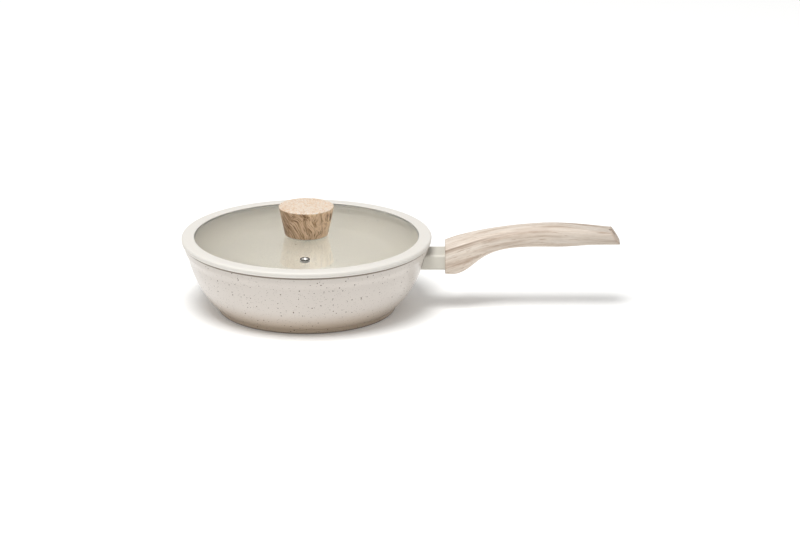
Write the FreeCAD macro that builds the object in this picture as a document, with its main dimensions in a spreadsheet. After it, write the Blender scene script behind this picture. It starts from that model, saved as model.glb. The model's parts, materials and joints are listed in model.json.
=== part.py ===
import FreeCAD, Part
import math
import os
import Sketcher

# Deep pan with a long handle and a glass lid.
# Frame: +Z up, origin at the centre of the pan's underside, +X along the handle.
# Millimetres and degrees throughout.

NODE_FOLDER = "parts"
os.makedirs(NODE_FOLDER, exist_ok=True)
doc = FreeCAD.newDocument("LiddedPan")

# ---------------------------------------------------------------- driving dimensions

DIMENSIONS = {
    # pan: cast shell, heights above the worktop and radii from its own axis
    "foot_radius": 88.6, "foot_height": 5.5, "wall_foot_radius": 90.5,
    "belly_radius": 93.4, "belly_top_radius": 117.2, "belly_top": 51.0,
    "flare_radius": 118.1, "flare_bottom": 55.0, "band_radius": 121.2, "band_bottom": 61.3,
    "rim_radius": 122.35, "rim_top": 68.7, "mouth_radius": 118.3, "rim_round": 1.7,
    "floor_height": 5.5, "floor_radius": 81.4, "corner_curve": 9.6,
    "corner_top_radius": 88.0, "corner_top": 8.1,
    "inner_curve": 90.0, "inner_wall_radius": 113.9, "inner_wall_top": 51.8,
    # steel disc let into the underside
    "disc_radius": 79.7, "disc_thickness": 1.2, "disc_seat_radius": 79.8,
    "disc_hole": 2.0, "disc_ring_gap": 13.0, "disc_rings": 5, "disc_ring_start": 19.0,
    # handle joint, along X at the height of its screw; the root lies inside the wall
    "screw_height": 50.5, "handle_root": 110.0, "boss_end": 132.0, "boss_width": 18.0, "boss_depth": 10.0,
    "guard_width": 32.0, "guard_depth": 15.6, "guard_end": 142.0, "guard_corner": 2.5,
    "guard_pocket_end": 133.0, "pocket_clearance": 0.5,
    "grip_front": 138.2, "socket_end": 142.2, "socket_clearance": 0.2,
    "sleeve_end": 158.0, "sleeve_radius": 4.5, "bolt_clear": 2.75,
    "access_radius": 6.5, "access_end": 196.0,
    "bolt_radius": 2.5, "bolt_tip": 119.5, "bolt_head_radius": 4.75, "bolt_head": 3.4,
    "plate_thickness": 0.9, "plate_radius": 5.5, "spring_thickness": 1.0, "spring_radius": 4.6,
    "spring_gap": 0.9, "spring_gap_slant": 25.0, "thread_play": 0.05,
    # tail of the grip
    "tail_plane_start": 259.0, "tail_plane_height": 85.4, "tail_plane_slope": 6.2,
    "end_top": 303.2, "end_top_height": 81.2, "end_slope": 56.5,
    "hang_hole_place": 304.5, "hang_hole_radius": 3.25, "cutter": 70.0,
    # lid: glass disc and the silicone ring round it
    "glass_radius": 118.5, "glass_top": 75.1, "glass_pad": 24.0, "glass_edge_top": 73.7,
    "glass_edge_start": 110.5, "glass_thickness": 4.0, "glass_dome": 4155.0, "glass_hole": 4.2,
    "ring_radius": 124.8, "ring_inner": 112.0, "ring_top": 74.95, "ring_shoulder": 72.1,
    "ring_seat_radius": 120.0, "ring_lip_bottom": 69.4,
    "ring_flat_radius": 123.2, "ring_flat_top": 74.65, "ring_edge_curve": 2.6,
    "plug_top_radius": 117.6, "plug_radius": 116.9, "plug_bottom": 66.2,
    "plug_chamfer": 0.7, "plug_inner": 112.9, "plug_inner_top": 68.0, "ring_lower_lip": 111.2,
    # knob on the middle of the glass
    "knob_bottom": 76.0, "knob_top": 105.2, "knob_foot_radius": 21.5, "knob_top_radius": 27.7,
    "knob_edge": 1.2, "insert_radius": 4.0, "insert_bottom": 76.6, "insert_length": 15.0,
    "knob_screw_radius": 2.5, "knob_screw_length": 20.0, "knob_head_radius": 4.75,
    "knob_head": 2.2, "knob_seal_radius": 20.0, "knob_collar": 3.6,
    "lower_seal_radius": 10.0, "lower_seal": 0.6, "cup_radius": 9.2, "cup": 0.8,
    "recess_width": 1.1, "recess_length": 5.4, "recess_depth": 1.3,
    # steam vent through the glass
    "vent_x": 0.2, "vent_y": -81.0, "vent_bore": 2.5, "vent_shank": 3.1,
    "vent_flange": 4.9, "vent_flange_height": 0.9, "vent_hole": 3.6, "vent_seal": 0.5,
    "vent_seal_radius": 4.7, "vent_roll_radius": 4.2, "vent_roll": 0.8, "vent_plate": 0.6,
    "vent_plate_radius": 5.2, "vent_plate_gap": 0.03,
}

sheet = doc.addObject("Spreadsheet::Sheet", "Sizes")
for row, (alias, value) in enumerate(DIMENSIONS.items(), start=1):
    sheet.set(f"A{row}", alias)
    sheet.set(f"B{row}", str(value))
    sheet.setAlias(f"B{row}", alias)
doc.recompute()


def size(expression):
    """Value of an expression on the sheet's aliases."""
    return float(sheet.evalExpression(str(expression)))


def on_sheet(expression):
    """The same expression as another object writes it, each alias with the sheet's name."""
    text = ""
    word = ""
    for letter in str(expression) + " ":
        if letter.isalnum() or letter == "_":
            word += letter
            continue
        text += f"Sizes.{word}" if word in DIMENSIONS else word
        text += letter
        word = ""
    return text.strip()


def bind(thing, **expressions):
    """Bind properties of an object to expressions on the sheet."""
    for name, expression in expressions.items():
        thing.setExpression(name, on_sheet(expression))


# ---------------------------------------------------------------- ways of making a piece

def origin_plane(body, role):
    """One of a body's own origin planes."""
    for feature in body.Origin.OriginFeatures:
        if feature.Role == role:
            return feature
    raise RuntimeError(f"{body.Name} has no {role}")


def arc_centre(start, end, radius):
    """Centre of the arc from start to end; a positive radius turns anticlockwise."""
    chord = end - start
    rise = math.sqrt(radius * radius - chord.Length ** 2 / 4)
    normal = FreeCAD.Vector(-chord.y, chord.x, 0).normalize()
    return (start + end) / 2 + normal * math.copysign(rise, radius)


def draw_outline(sketch, outline):
    """Close an outline of (x, y) or (x, y, radius) corners; radius curves the edge that ends there."""
    corners = []
    for corner in outline:
        corners.append(FreeCAD.Vector(size(corner[0]), size(corner[1]), 0))
    for index, corner in enumerate(outline):
        start = corners[index - 1]
        end = corners[index]
        if len(corner) == 2:
            sketch.addGeometry(Part.LineSegment(start, end), False)
            continue
        radius = size(corner[2])
        centre = arc_centre(start, end, radius)
        circle = Part.Circle(centre, FreeCAD.Vector(0, 0, 1), abs(radius))
        first, last = (start, end) if radius > 0 else (end, start)
        sketch.addGeometry(Part.ArcOfCircle(circle, circle.parameter(first), circle.parameter(last)), False)
        bound = sketch.addConstraint(Sketcher.Constraint("Radius", index, abs(radius)))
        sketch.setExpression(f"Constraints[{bound}]", on_sheet(f"abs({corner[2]})"))
    for index, corner in enumerate(outline):
        turned = len(corner) == 3 and size(corner[2]) < 0
        tip = 1 if turned else 2
        following = (index + 1) % len(outline)
        next_corner = outline[following]
        next_turned = len(next_corner) == 3 and size(next_corner[2]) < 0
        root = 2 if next_turned else 1
        sketch.addConstraint(Sketcher.Constraint("Coincident", index, tip, following, root))
        for kind, axis, value, expression in (
            ("DistanceX", -2, corners[index].x, corner[0]),
            ("DistanceY", -1, corners[index].y, corner[1]),
        ):
            if abs(value) < 1e-9:
                sketch.addConstraint(Sketcher.Constraint("PointOnObject", index, tip, axis))
                continue
            bound = sketch.addConstraint(Sketcher.Constraint(kind, -1, 1, index, tip, value))
            sketch.setExpression(f"Constraints[{bound}]", on_sheet(expression))


def turned(name, outline):
    """A body turned about Z from its half section in the XZ plane."""
    body = doc.addObject("PartDesign::Body", name)
    sketch = body.newObject("Sketcher::SketchObject", f"{name}_section")
    sketch.AttachmentSupport = [(origin_plane(body, "XZ_Plane"), "")]
    sketch.MapMode = "FlatFace"
    draw_outline(sketch, outline)
    turn = body.newObject("PartDesign::Revolution", f"{name}_turn")
    turn.Profile = sketch
    turn.ReferenceAxis = (sketch, ["V_Axis"])
    turn.Angle = 360
    doc.recompute()
    return body


def round_circles(body, circles, radius):
    """Round the circular edges of a turned body, each named by its radius and height."""
    base = body.Tip
    wanted = []
    for number, edge in enumerate(base.Shape.Edges, start=1):
        curve = edge.Curve
        if not isinstance(curve, Part.Circle):
            continue
        for ring_radius, height in circles:
            near = abs(curve.Radius - size(ring_radius)) < 0.01 and abs(curve.Center.z - size(height)) < 0.01
            if near:
                wanted.append(f"Edge{number}")
    fillet = body.newObject("PartDesign::Fillet", f"{body.Name}_round")
    fillet.Base = (base, wanted)
    bind(fillet, Radius=radius)
    doc.recompute()
    return body


def cylinder(name, radius, length, place, axis=(0, 0, 1)):
    """A cylinder from place along axis; radius, length and place are sheet expressions."""
    thing = doc.addObject("Part::Cylinder", name)
    bind(thing, Radius=radius, Height=length)
    turn = FreeCAD.Rotation(FreeCAD.Vector(0, 0, 1), FreeCAD.Vector(*axis))
    thing.Placement = FreeCAD.Placement(FreeCAD.Vector(), turn)
    for letter, expression in zip("xyz", place):
        thing.setExpression(f"Placement.Base.{letter}", on_sheet(expression))
    return thing


def box(name, lengths, place):
    """A box from its low corner; lengths and place are sheet expressions."""
    thing = doc.addObject("Part::Box", name)
    bind(thing, Length=lengths[0], Width=lengths[1], Height=lengths[2])
    for letter, expression in zip("xyz", place):
        thing.setExpression(f"Placement.Base.{letter}", on_sheet(expression))
    return thing


def cut(name, base, *tools):
    """Base with each tool cut away in turn."""
    result = base
    for number, tool in enumerate(tools, start=1):
        last = number == len(tools)
        step = doc.addObject("Part::Cut", name if last else f"{name}_cut{number}")
        step.Base = result
        step.Tool = tool
        result = step
    doc.recompute()
    return result


def fuse(name, *pieces):
    """One solid from touching pieces."""
    result = doc.addObject("Part::MultiFuse", name)
    result.Shapes = list(pieces)
    result.Refine = True
    doc.recompute()
    return result


NODES = []


def node(thing, label):
    """Name a finished piece and put it on the list of nodes to write."""
    thing.Label = label
    NODES.append(thing)
    return thing


# ---------------------------------------------------------------- pan

def pan_outer(bottom):
    """Corners of the pan's outer face, from its foot up to the rim."""
    return [
        ("foot_radius", bottom),
        ("wall_foot_radius", "foot_height"),
        ("belly_top_radius", "belly_top", "belly_radius"),
        ("flare_radius", "flare_bottom"),
        ("band_radius", "band_bottom"),
        ("rim_radius", "rim_top"),
    ]


def pan_body():
    """Cast shell: flat floor, rolled corner, flared wall and a stiffening band under the rim."""
    inside = [
        ("mouth_radius", "rim_top"),
        ("inner_wall_radius", "inner_wall_top"),
        ("corner_top_radius", "corner_top", "-inner_curve"),
        ("floor_radius", "floor_height", "-corner_curve"),
        ("0", "floor_height"),
    ]
    underside = [("0", "disc_thickness"), ("disc_seat_radius", "disc_thickness"), ("disc_seat_radius", "0")]
    body = turned("PanBody", underside + pan_outer("0") + inside)
    round_circles(body, [("rim_radius", "rim_top"), ("mouth_radius", "rim_top")], "rim_round")
    return node(body, "pan_body")


def induction_base():
    """Steel disc in the underside, pierced by rings of keying holes."""
    outline = [("0", "0"), ("disc_radius", "0"), ("disc_radius", "disc_thickness"), ("0", "disc_thickness")]
    body = turned("InductionBase", outline)
    for ring in range(int(size("disc_rings"))):
        sketch = body.newObject("Sketcher::SketchObject", f"KeyHole{ring}")
        sketch.AttachmentSupport = [(origin_plane(body, "XY_Plane"), "")]
        sketch.MapMode = "FlatFace"
        place = f"disc_ring_start + {ring} * disc_ring_gap"
        centre = FreeCAD.Vector(size(place), 0, 0)
        sketch.addGeometry(Part.Circle(centre, FreeCAD.Vector(0, 0, 1), size("disc_hole")), False)
        sketch.addConstraint(Sketcher.Constraint("PointOnObject", 0, 3, -1))
        across = sketch.addConstraint(Sketcher.Constraint("DistanceX", -1, 1, 0, 3, centre.x))
        sketch.setExpression(f"Constraints[{across}]", on_sheet(place))
        bore = sketch.addConstraint(Sketcher.Constraint("Radius", 0, size("disc_hole")))
        sketch.setExpression(f"Constraints[{bore}]", on_sheet("disc_hole"))
        pocket = body.newObject("PartDesign::Pocket", f"KeyHolePocket{ring}")
        pocket.Profile = sketch
        pocket.Type = "ThroughAll"
        pocket.Reversed = True
        doc.recompute()
        pattern = body.newObject("PartDesign::PolarPattern", f"KeyHoleRing{ring}")
        pattern.Originals = [pocket]
        pattern.Axis = (sketch, ["N_Axis"])
        pattern.Angle = 360
        pattern.Occurrences = 9 * (ring + 1)
        body.Tip = pattern
        doc.recompute()
    return node(body, "induction_base")


def pan_form():
    """Solid inside the pan's outer face, which trims what is fixed to the wall."""
    outline = [("0", "0")] + pan_outer("0") + [("0", "rim_top")]
    return turned("PanForm", outline)


def handle_boss(form):
    """Block welded to the wall, threaded for the handle's bolt."""
    block = box("BossBlock", ("boss_end - handle_root", "boss_width", "boss_depth"),
                ("handle_root", "-boss_width / 2", "screw_height - boss_depth / 2"))
    bore = cylinder("BossBore", "bolt_radius + thread_play", "40",
                    ("bolt_tip - 1", "0", "screw_height"), (1, 0, 0))
    return node(cut("HandleBoss", block, form, bore), "handle_boss")


def rounded_bar(name, width, depth, corner, start, end):
    """Bar along X with a rounded rectangular section centred on the screw's height."""
    body = doc.addObject("PartDesign::Body", name)
    sketch = body.newObject("Sketcher::SketchObject", f"{name}_section")
    sketch.AttachmentSupport = [(origin_plane(body, "YZ_Plane"), "")]
    sketch.MapMode = "FlatFace"
    half = f"({width}) / 2"
    low = f"screw_height - ({depth}) / 2"
    high = f"screw_height + ({depth}) / 2"
    draw_outline(sketch, [
        (f"{half} - {corner}", low), (half, f"{low} + {corner}", corner),
        (half, f"{high} - {corner}"), (f"{half} - {corner}", high, corner),
        (f"-{half} + {corner}", high), (f"-{half}", f"{high} - {corner}", corner),
        (f"-{half}", f"{low} + {corner}"), (f"-{half} + {corner}", low, corner),
    ])
    pad = body.newObject("PartDesign::Pad", f"{name}_pad")
    pad.Profile = sketch
    bind(pad, Length=f"{end} - ({start})")
    sketch.setExpression("AttachmentOffset.Base.z", on_sheet(start))
    doc.recompute()
    return body


def flame_guard(form):
    """Coated neck: a hollow ferrule over the boss, trimmed to the wall and let into the grip."""
    outer = rounded_bar("GuardOuter", "guard_width", "guard_depth", "guard_corner",
                        "handle_root", "guard_end")
    pocket = box("GuardPocket",
                 ("guard_pocket_end - handle_root + 1", "boss_width + 2 * pocket_clearance",
                  "boss_depth + 2 * pocket_clearance"),
                 ("handle_root - 1", "-boss_width / 2 - pocket_clearance",
                  "screw_height - boss_depth / 2 - pocket_clearance"))
    bore = cylinder("GuardBore", "bolt_clear", "20", ("guard_pocket_end - 1", "0", "screw_height"), (1, 0, 0))
    return node(cut("FlameGuard", outer, form, pocket, bore), "flame_guard")


# ---------------------------------------------------------------- grip

# Stations of the grip along X: top and bottom heights, width, and the corner radii of its
# section above and below. It rises from a deep block at the neck to a slimmer, level tail.
GRIP_STATIONS = [
    # x, top, bottom, width, upper corner, lower corner
    (138.2, 65.6, 37.6, 37.0, 5.0, 9.0),
    (149.0, 69.6, 37.2, 36.4, 5.5, 10.0),
    (161.0, 73.2, 42.4, 34.6, 6.5, 10.5),
    (173.0, 76.5, 51.6, 32.4, 7.5, 10.5),
    (186.0, 79.6, 58.6, 30.2, 8.5, 10.0),
    (204.0, 83.0, 62.8, 28.2, 9.0, 9.8),
    (222.0, 85.2, 64.0, 27.2, 9.2, 9.6),
    (240.0, 86.3, 64.1, 27.0, 9.2, 9.6),
    (258.0, 86.0, 64.3, 27.3, 9.2, 9.6),
    (276.0, 85.0, 65.7, 27.5, 8.8, 9.0),
    (296.0, 83.6, 66.5, 27.2, 8.0, 8.0),
    (316.0, 82.2, 66.8, 26.4, 7.2, 7.2),
]


def grip_section(place, top, bottom, width, upper, lower):
    """Closed wire of one section: a rectangle with two pairs of rounded corners."""
    half = width / 2
    corners = [(half, bottom, lower), (half, top, upper), (-half, top, upper), (-half, bottom, lower)]
    ways = [((-1, 0), (0, 1)), ((0, -1), (-1, 0)), ((1, 0), (0, -1)), ((0, 1), (1, 0))]
    edges = []
    previous = None
    first = None
    for (y, z, radius), (before, after) in zip(corners, ways):
        start = FreeCAD.Vector(place, y + before[0] * radius, z + before[1] * radius)
        end = FreeCAD.Vector(place, y + after[0] * radius, z + after[1] * radius)
        slack = radius * (1 - math.sqrt(0.5))
        middle = FreeCAD.Vector(place, y - math.copysign(slack, y), z + (before[1] + after[1]) * slack)
        if previous is not None:
            edges.append(Part.LineSegment(previous, start).toShape())
        first = first or start
        edges.append(Part.Arc(start, middle, end).toShape())
        previous = end
    edges.append(Part.LineSegment(previous, first).toShape())
    return Part.Wire(edges)


def turned_box(name, lengths, corner, angle):
    """Box with its low corner at a point, turned about Y by an angle in degrees."""
    thing = doc.addObject("Part::Box", name)
    thing.Length, thing.Width, thing.Height = lengths
    turn = FreeCAD.Rotation(FreeCAD.Vector(0, 1, 0), angle)
    thing.Placement = FreeCAD.Placement(FreeCAD.Vector(*corner), turn)
    return thing


def handle_grip():
    """Moulded grip with its socket, bolt bore, bolt access, flat tail, slanted end and hanging hole."""
    blank = doc.addObject("Part::Feature", "GripBlank")
    blank.Shape = Part.makeLoft([grip_section(*station) for station in GRIP_STATIONS], True, False)
    socket = rounded_bar("GripSocket", "guard_width + 2 * socket_clearance",
                         "guard_depth + 2 * socket_clearance", "guard_corner", "grip_front - 1", "socket_end")
    bore = cylinder("GripBore", "sleeve_radius", "30", ("grip_front", "0", "screw_height"), (1, 0, 0))
    access = cylinder("GripAccess", "access_radius", "access_end - sleeve_end",
                      ("sleeve_end", "0", "screw_height"), (1, 0, 0))
    cutter = size("cutter")
    tail_corner = (size("tail_plane_start"), -cutter / 2, size("tail_plane_height"))
    tail_plane = turned_box("TailPlane", (cutter, cutter, cutter), tail_corner, size("tail_plane_slope"))
    end_corner = (size("end_top"), -cutter / 2, size("end_top_height"))
    end_plane = turned_box("EndPlane", (cutter, cutter, cutter), end_corner, size("end_slope"))
    hole = cylinder("HangHole", "hang_hole_radius", "cutter", ("hang_hole_place", "0", "screw_height"))
    grip = cut("HandleGrip", blank, socket, bore, access, tail_plane, end_plane, hole)
    return node(grip, "handle_grip")


# ---------------------------------------------------------------- fasteners

def cross_recess(name, x, y, z, axis):
    """Cross-shaped driver recess cut down from a head's face."""
    bars = []
    for number in range(2):
        bar = doc.addObject("Part::Box", f"{name}Bar{number}")
        across, along = size("recess_width"), size("recess_length")
        bar.Length = across if number else along
        bar.Width = along if number else across
        bar.Height = size("recess_depth")
        centre = FreeCAD.Vector(-bar.Length.Value / 2, -bar.Width.Value / 2, 0)
        turn = FreeCAD.Rotation(FreeCAD.Vector(0, 0, 1), FreeCAD.Vector(*axis))
        inward = FreeCAD.Placement(centre, FreeCAD.Rotation())
        bar.Placement = FreeCAD.Placement(FreeCAD.Vector(x, y, z), turn) * inward
        bars.append(bar)
    return fuse(f"{name}Recess", *bars)


def bolt_along_x():
    """Pan-head bolt that clamps grip and neck to the boss, its head towards the tail."""
    seat = "sleeve_end + plate_thickness + spring_thickness"
    shank = cylinder("BoltShank", "bolt_radius", f"{seat} - bolt_tip + 0.5",
                     ("bolt_tip", "0", "screw_height"), (1, 0, 0))
    head = cylinder("BoltHead", "bolt_head_radius", "bolt_head", (seat, "0", "screw_height"), (1, 0, 0))
    whole = fuse("BoltBlank", shank, head)
    face = size(seat) + size("bolt_head")
    recess = cross_recess("Bolt", face, 0, size("screw_height"), (-1, 0, 0))
    return node(cut("HandleBolt", whole, recess), "handle_bolt")


def ring(name, inner, outer, length, place, axis=(0, 0, 1)):
    """Flat ring between two radii, from place along axis."""
    disc = cylinder(f"{name}Disc", outer, length, place, axis)
    hole = cylinder(f"{name}Hole", inner, f"{length} + 2", place, axis)
    for letter, part in zip("xyz", axis):
        index = "xyz".index(letter)
        hole.setExpression(f"Placement.Base.{letter}", on_sheet(f"{place[index]} - ({part})"))
    return cut(name, disc, hole)


def split_ring(name, inner, outer, length, place, axis):
    """Spring washer: a ring with a slanting gap."""
    whole = ring(f"{name}Whole", inner, outer, length, place, axis)
    gap = doc.addObject("Part::Box", f"{name}Gap")
    across, reach = size("spring_gap"), 2 * size(outer)
    gap.Length, gap.Width, gap.Height = across, reach, reach
    turn = FreeCAD.Rotation(FreeCAD.Vector(0, 0, 1), FreeCAD.Vector(*axis))
    tilt = FreeCAD.Rotation(FreeCAD.Vector(0, 1, 0), size("spring_gap_slant"))
    centre = FreeCAD.Vector(*[size(part) for part in place])
    inward = FreeCAD.Placement(FreeCAD.Vector(-across / 2, 1, -reach / 2), FreeCAD.Rotation())
    gap.Placement = FreeCAD.Placement(centre, turn * tilt) * inward
    return cut(name, whole, gap)


def handle_hardware():
    """Sleeve moulded into the grip, and the washers under the bolt's head."""
    along = (1, 0, 0)
    node(ring("GripSleeve", "bolt_clear", "sleeve_radius", "sleeve_end - socket_end",
              ("socket_end", "0", "screw_height"), along), "grip_sleeve")
    node(ring("HandleWasher", "bolt_clear", "plate_radius", "plate_thickness",
              ("sleeve_end", "0", "screw_height"), along), "handle_washer")
    node(split_ring("HandleSpringWasher", "bolt_clear", "spring_radius", "spring_thickness",
                    ("sleeve_end + plate_thickness", "0", "screw_height"), along), "handle_spring_washer")


# ---------------------------------------------------------------- lid

def vent_placement():
    """Place on the dome above the vent, with Z along the glass's own normal there."""
    x, y = size("vent_x"), size("vent_y")
    reach = math.hypot(x, y)
    dome = size("glass_dome")
    drop = dome - math.sqrt(dome ** 2 - reach ** 2)
    pad_drop = dome - math.sqrt(dome ** 2 - size("glass_pad") ** 2)
    surface = FreeCAD.Vector(x, y, size("glass_top") - drop + pad_drop)
    normal = FreeCAD.Vector(x, y, math.sqrt(dome ** 2 - reach ** 2)).normalize()
    return FreeCAD.Placement(surface, FreeCAD.Rotation(FreeCAD.Vector(0, 0, 1), normal))


VENT = vent_placement()


def at_vent(thing):
    """Stand a piece modelled about its own Z axis on the vent."""
    thing.Placement = VENT
    return thing


def lid_glass():
    """Tempered glass: flat pad under the knob, shallow dome, flat edge, knob hole and vent hole."""
    low = "glass_top - glass_thickness"
    edge_low = "glass_edge_top - glass_thickness"
    body = turned("GlassBlank", [
        ("glass_hole", low),
        ("glass_pad", low),
        ("glass_edge_start", edge_low, "-glass_dome"),
        ("glass_radius", edge_low),
        ("glass_radius", "glass_edge_top"),
        ("glass_edge_start", "glass_edge_top"),
        ("glass_pad", "glass_top", "glass_dome"),
        ("glass_hole", "glass_top"),
    ])
    hole = doc.addObject("Part::Cylinder", "VentHole")
    bind(hole, Radius="vent_hole", Height="20")
    hole.Placement = VENT * FreeCAD.Placement(FreeCAD.Vector(0, 0, -10), FreeCAD.Rotation())
    return node(cut("LidGlass", body, hole), "lid_glass")


def lid_ring():
    """Silicone ring: groove for the glass, seat on the pan's rim, overhanging lip and a plug in its mouth."""
    edge_low = "glass_edge_top - glass_thickness"
    body = turned("LidRing", [
        ("ring_inner", "glass_edge_top"),
        ("glass_radius", "glass_edge_top"),
        ("glass_radius", edge_low),
        ("ring_lower_lip", edge_low),
        ("plug_inner", "plug_inner_top"),
        ("plug_inner", "plug_bottom"),
        ("plug_radius - plug_chamfer", "plug_bottom"),
        ("plug_radius", "plug_bottom + plug_chamfer"),
        ("plug_top_radius", "rim_top"),
        ("ring_seat_radius", "rim_top"),
        ("ring_seat_radius + 0.5", "ring_lip_bottom"),
        ("ring_radius", "ring_lip_bottom"),
        ("ring_radius", "ring_shoulder"),
        ("ring_flat_radius", "ring_flat_top", "ring_edge_curve"),
        ("ring_inner + 0.5", "ring_top"),
        ("ring_inner", "ring_top - 0.5"),
    ])
    return node(body, "lid_ring")


def knob_body():
    """Tapered knob, wider at its top, bored for the threaded insert."""
    insert_top = "insert_bottom + insert_length"
    body = turned("KnobBody", [
        ("insert_radius", "knob_bottom"),
        ("knob_foot_radius", "knob_bottom"),
        ("knob_top_radius", "knob_top"),
        ("0", "knob_top"),
        ("0", insert_top),
        ("insert_radius", insert_top),
    ])
    round_circles(body, [("knob_top_radius", "knob_top")], "knob_edge")
    return node(body, "knob_body")


def knob_hardware():
    """Insert, screw, washers and seals on the knob's axis, from the top down."""
    centre = ("0", "0")
    low = "glass_top - glass_thickness"
    node(ring("KnobInsert", "knob_screw_radius + thread_play", "insert_radius", "insert_length",
              (*centre, "insert_bottom")), "knob_insert")
    seal = turned("KnobSeal", [
        ("knob_screw_radius + 0.25", f"{low} + 0.3"),
        ("knob_collar", f"{low} + 0.3"),
        ("knob_collar", "glass_top"),
        ("knob_seal_radius", "glass_top"),
        ("knob_seal_radius", "knob_bottom"),
        ("knob_screw_radius + 0.25", "knob_bottom"),
    ])
    node(seal, "knob_seal_upper")
    node(ring("LowerSeal", "knob_screw_radius + 0.25", "lower_seal_radius", "lower_seal",
              (*centre, f"{low} - lower_seal")), "knob_seal_lower")
    cup_low = f"{low} - lower_seal - cup"
    node(ring("CupWasher", "knob_screw_radius + 0.25", "cup_radius", "cup",
              (*centre, cup_low)), "knob_washer")
    spring_low = f"{cup_low} - spring_thickness"
    node(split_ring("KnobSpringWasher", "knob_screw_radius + 0.25", "spring_radius", "spring_thickness",
                    (*centre, spring_low), (0, 0, 1)), "knob_spring_washer")
    head_low = f"{spring_low} - knob_head"
    shank = cylinder("KnobScrewShank", "knob_screw_radius", "knob_screw_length + 0.5",
                     (*centre, f"{spring_low} - 0.5"))
    head = cylinder("KnobScrewHead", "knob_head_radius", "knob_head", (*centre, head_low))
    recess = cross_recess("KnobScrew", 0, 0, size(head_low), (0, 0, 1))
    node(cut("KnobScrew", fuse("KnobScrewBlank", shank, head), recess), "knob_screw")


def steam_vent():
    """Steel eyelet through the glass, its soft seal on top and the plate that its end is rolled over."""
    flange_low = "vent_seal"
    shank_low = "-glass_thickness - vent_plate"
    eyelet = turned("VentEyelet", [
        ("vent_bore", f"{shank_low} - vent_roll"),
        ("vent_roll_radius", f"{shank_low} - vent_roll"),
        ("vent_roll_radius", shank_low),
        ("vent_shank", shank_low),
        ("vent_shank", flange_low),
        ("vent_flange", flange_low),
        ("vent_flange - 0.5", f"{flange_low} + vent_flange_height"),
        ("vent_bore + 0.6", f"{flange_low} + vent_flange_height"),
        ("vent_bore", f"{flange_low} + 0.3"),
    ])
    node(at_vent(eyelet), "vent_eyelet")
    seal = turned("VentSeal", [
        ("vent_shank", "0 - glass_thickness"),
        ("vent_hole", "0 - glass_thickness"),
        ("vent_hole", "0"),
        ("vent_seal_radius", "0"),
        ("vent_seal_radius", "vent_seal"),
        ("vent_shank", "vent_seal"),
    ])
    node(at_vent(seal), "vent_seal")
    plate = turned("VentPlate", [
        ("vent_shank", shank_low),
        ("vent_plate_radius", shank_low),
        ("vent_plate_radius", "-glass_thickness - vent_plate_gap"),
        ("vent_shank", "-glass_thickness - vent_plate_gap"),
    ])
    node(at_vent(plate), "vent_plate")


# ---------------------------------------------------------------- build and write

def build():
    """Make every piece of the pan and of its lid."""
    pan_body()
    induction_base()
    form = pan_form()
    handle_boss(form)
    flame_guard(form)
    handle_grip()
    bolt_along_x()
    handle_hardware()
    lid_glass()
    lid_ring()
    knob_body()
    knob_hardware()
    steam_vent()


def check():
    """Stop if any object failed to compute or any node is not one sound solid."""
    doc.recompute()
    for thing in doc.Objects:
        if "Invalid" in thing.State or "Error" in thing.State:
            raise RuntimeError(f"{thing.Name} did not compute: {thing.State}")
    for piece in NODES:
        shape = piece.Shape
        if shape.isNull() or not shape.isValid():
            raise RuntimeError(f"{piece.Label} has no sound shape")
        if len(shape.Solids) != 1:
            raise RuntimeError(f"{piece.Label} has {len(shape.Solids)} solids")


def write():
    """Write each node's shape to its own file and print its size."""
    for piece in NODES:
        piece.Shape.exportStep(os.path.join(NODE_FOLDER, f"{piece.Label}.step"))
        low = piece.Shape.BoundBox
        print(f"{piece.Label:22s} volume {piece.Shape.Volume / 1000:8.2f} cm3  "
              f"x {low.XMin:7.2f} {low.XMax:7.2f}  y {low.YMin:7.2f} {low.YMax:7.2f}  "
              f"z {low.ZMin:6.2f} {low.ZMax:6.2f}")


build()
check()
write()
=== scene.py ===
import json
import math

import bpy
import numpy as np
from bpy.props import FloatProperty, FloatVectorProperty, PointerProperty
from bpy.types import Node, NodeSocket, Operator, Panel, PropertyGroup
from mathutils import Matrix, Vector


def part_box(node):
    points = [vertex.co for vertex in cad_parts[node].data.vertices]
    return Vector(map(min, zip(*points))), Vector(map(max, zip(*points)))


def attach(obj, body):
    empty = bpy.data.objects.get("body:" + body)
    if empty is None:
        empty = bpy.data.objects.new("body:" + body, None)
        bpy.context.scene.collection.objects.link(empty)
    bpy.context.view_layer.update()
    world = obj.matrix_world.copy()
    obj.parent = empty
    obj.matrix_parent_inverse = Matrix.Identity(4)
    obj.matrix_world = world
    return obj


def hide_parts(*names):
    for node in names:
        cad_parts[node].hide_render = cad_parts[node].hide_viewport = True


bl_info = {
    "name": "Lidded Pan",
    "version": (1, 0, 0),
    "blender": (4, 5, 0),
    "location": "View3D > Sidebar > Lidded Pan",
    "description": "Builds the pieces, finishes and studio of a deep pan with a glass lid",
    "category": "Add Mesh",
}

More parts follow.
